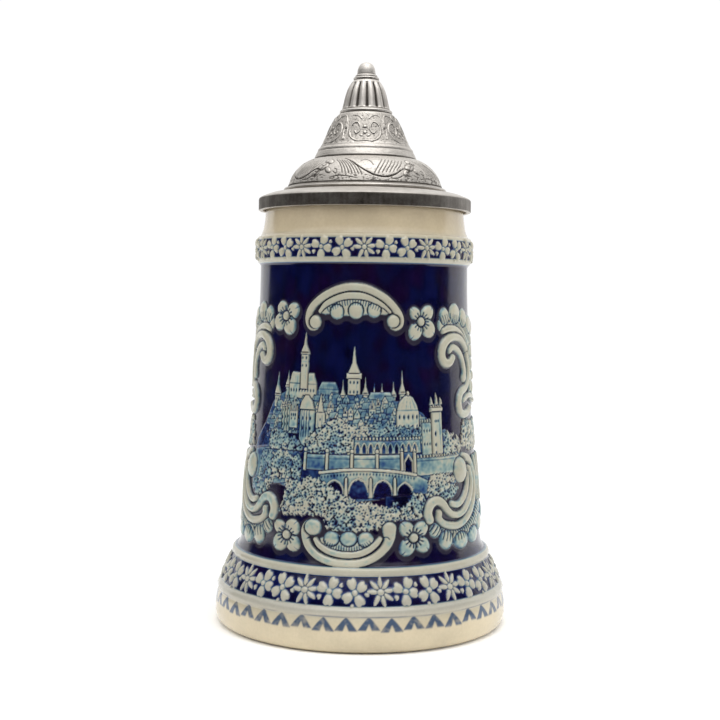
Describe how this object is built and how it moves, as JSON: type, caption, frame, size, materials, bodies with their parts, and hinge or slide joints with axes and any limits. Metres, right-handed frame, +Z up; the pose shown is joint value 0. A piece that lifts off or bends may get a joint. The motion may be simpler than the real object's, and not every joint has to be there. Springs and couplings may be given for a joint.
{
  "type": "lidded beer stein",
  "caption": "Tall tapering stoneware mug with a flared foot, moulded relief bands, a loop handle and a hinged conical pewter lid with a fluted finial and thumb lift",
  "frame": {"origin": "on the mug's turning axis, at the centre of the flat foot ring it stands on", "axes": "+Z up along the mug's axis, the longest extent; -Y is the decorated front; the handle and the lid hinge are on the +Y side; the hinge pin lies along X"},
  "size_m": [0.1128, 0.1415, 0.216],
  "materials": {
    "stoneware": "gloss",
    "handle_glaze": "gloss",
    "pewter": "satin",
    "hinge_steel": "satin"
  },
  "bodies": {
    "mug": {"mug_body": "stoneware", "handle": "handle_glaze", "handle_strap": "pewter", "hinge_shank": "pewter", "hinge_pin": "hinge_steel", "hinge_pin_caps": "pewter"},
    "lid": {"lid_base": "pewter", "lid_cone": "pewter", "finial": "pewter", "lid_tang": "pewter", "thumb_lift": "pewter"}
  },
  "joints": [
    {"name": "lid_hinge", "type": "hinge", "parent": "mug", "child": "lid", "pos_m": [0, 0.053, 0.162], "axis": [-1, 0, 0], "range_deg": [0, 105]}
  ]
}
